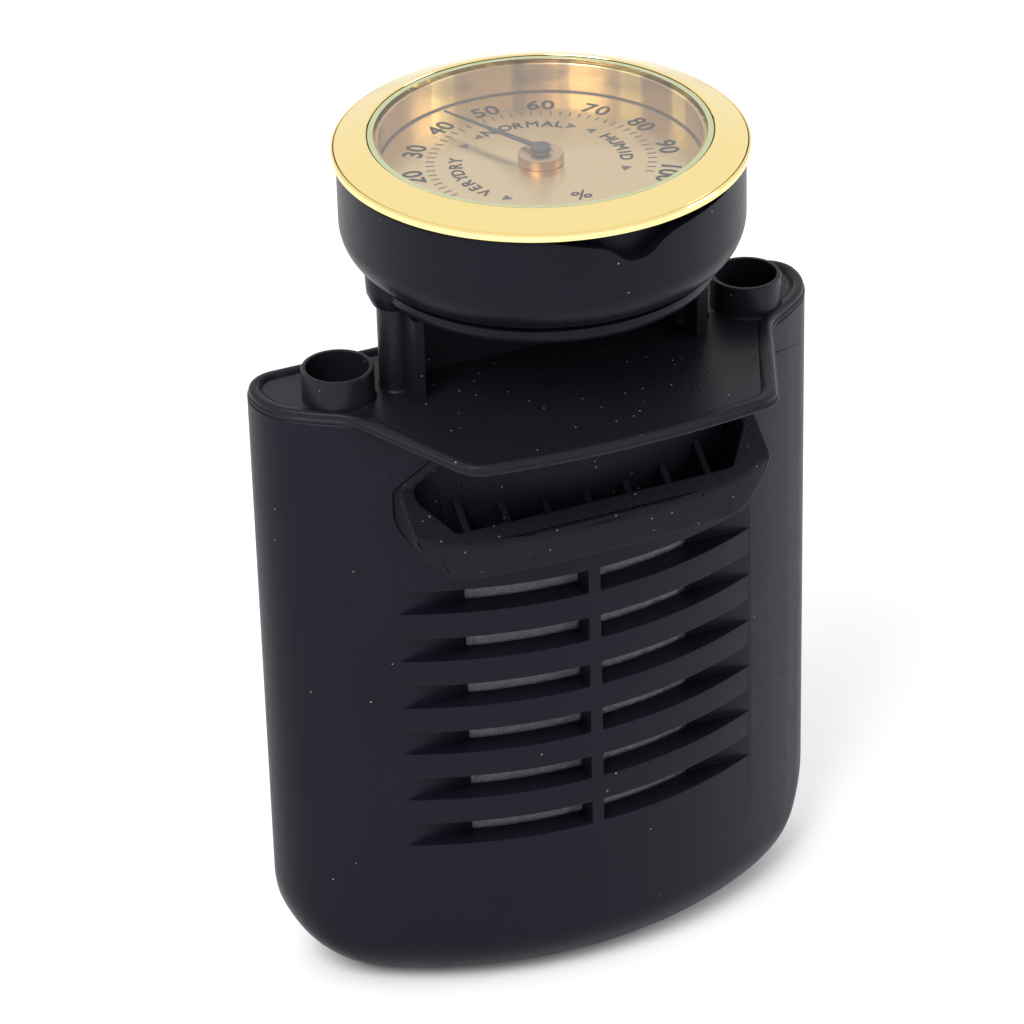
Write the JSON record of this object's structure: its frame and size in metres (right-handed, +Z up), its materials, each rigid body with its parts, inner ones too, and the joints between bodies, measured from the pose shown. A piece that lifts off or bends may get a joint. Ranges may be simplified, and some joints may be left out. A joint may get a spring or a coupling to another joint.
{
  "type": "dial hygrometer",
  "caption": "Round gold-rimmed dial hygrometer on a neck above a black, grilled, D-shaped humidifier housing with two filler tubes and a sponge inside.",
  "frame": {"origin": "on the base plane, straight below the centre of the dial", "axes": "+Z up along the dial's axis, -Y the way the grille faces, +X to the right seen from the front"},
  "size_m": [0.066, 0.0453, 0.1018],
  "materials": {
    "housing_plastic": "satin",
    "ledge_plastic": "fine grain",
    "lid_plastic": "fine grain, satin",
    "holder_plastic": "satin",
    "sponge_foam": "open foam",
    "gasket_rubber": "matte",
    "screw_steel": "satin",
    "case_metal": "satin",
    "bezel_gold": "polished",
    "wall_gold": "brushed",
    "lens_glass": "clear",
    "dial_metal": "brushed, champagne",
    "bush_brass": "turned",
    "bridge_brass": "satin",
    "coil_strip": "coated strip",
    "spindle_steel": "polished",
    "pointer_black": "satin"
  },
  "bodies": {
    "housing": {"front_shell": "housing_plastic", "back_plate": "housing_plastic", "back_screws": "screw_steel", "finger_ledge": "ledge_plastic", "sponge": "sponge_foam"},
    "lid_unit": {"lid": "lid_plastic", "lid_gasket": "gasket_rubber", "holder": "holder_plastic", "post_screws": "screw_steel"},
    "capsule": {"case": "case_metal", "seat_gasket": "gasket_rubber", "bezel": "bezel_gold", "wall_ring": "wall_gold", "lens": "lens_glass", "dial_plate": "dial_metal", "hub_bush": "bush_brass", "bridge": "bridge_brass", "bridge_screws": "screw_steel"},
    "setting_arm": {"adjuster": "bridge_brass", "humidity_coil": "coil_strip"},
    "needle": {"spindle": "spindle_steel", "pointer": "pointer_black"}
  },
  "joints": [
    {"name": "lid_lift", "type": "slide", "parent": "housing", "child": "lid_unit", "axis": [0, 0, 1], "range_m": [0, 0.03]},
    {"name": "capsule_lift", "type": "slide", "parent": "lid_unit", "child": "capsule", "axis": [0, 0, 1], "range_m": [0, 0.018]},
    {"name": "calibration_turn", "type": "hinge", "parent": "capsule", "child": "setting_arm", "pos_m": [0, 0, 0.0925], "axis": [0, 0, 1], "range_deg": [-20, 20]},
    {"name": "needle_swing", "type": "hinge", "parent": "setting_arm", "child": "needle", "pos_m": [0, 0, 0.0985], "axis": [0, 0, 1], "range_deg": [-154, 84], "stiffness_Nm_per_rad": 0.00002}
  ]
}
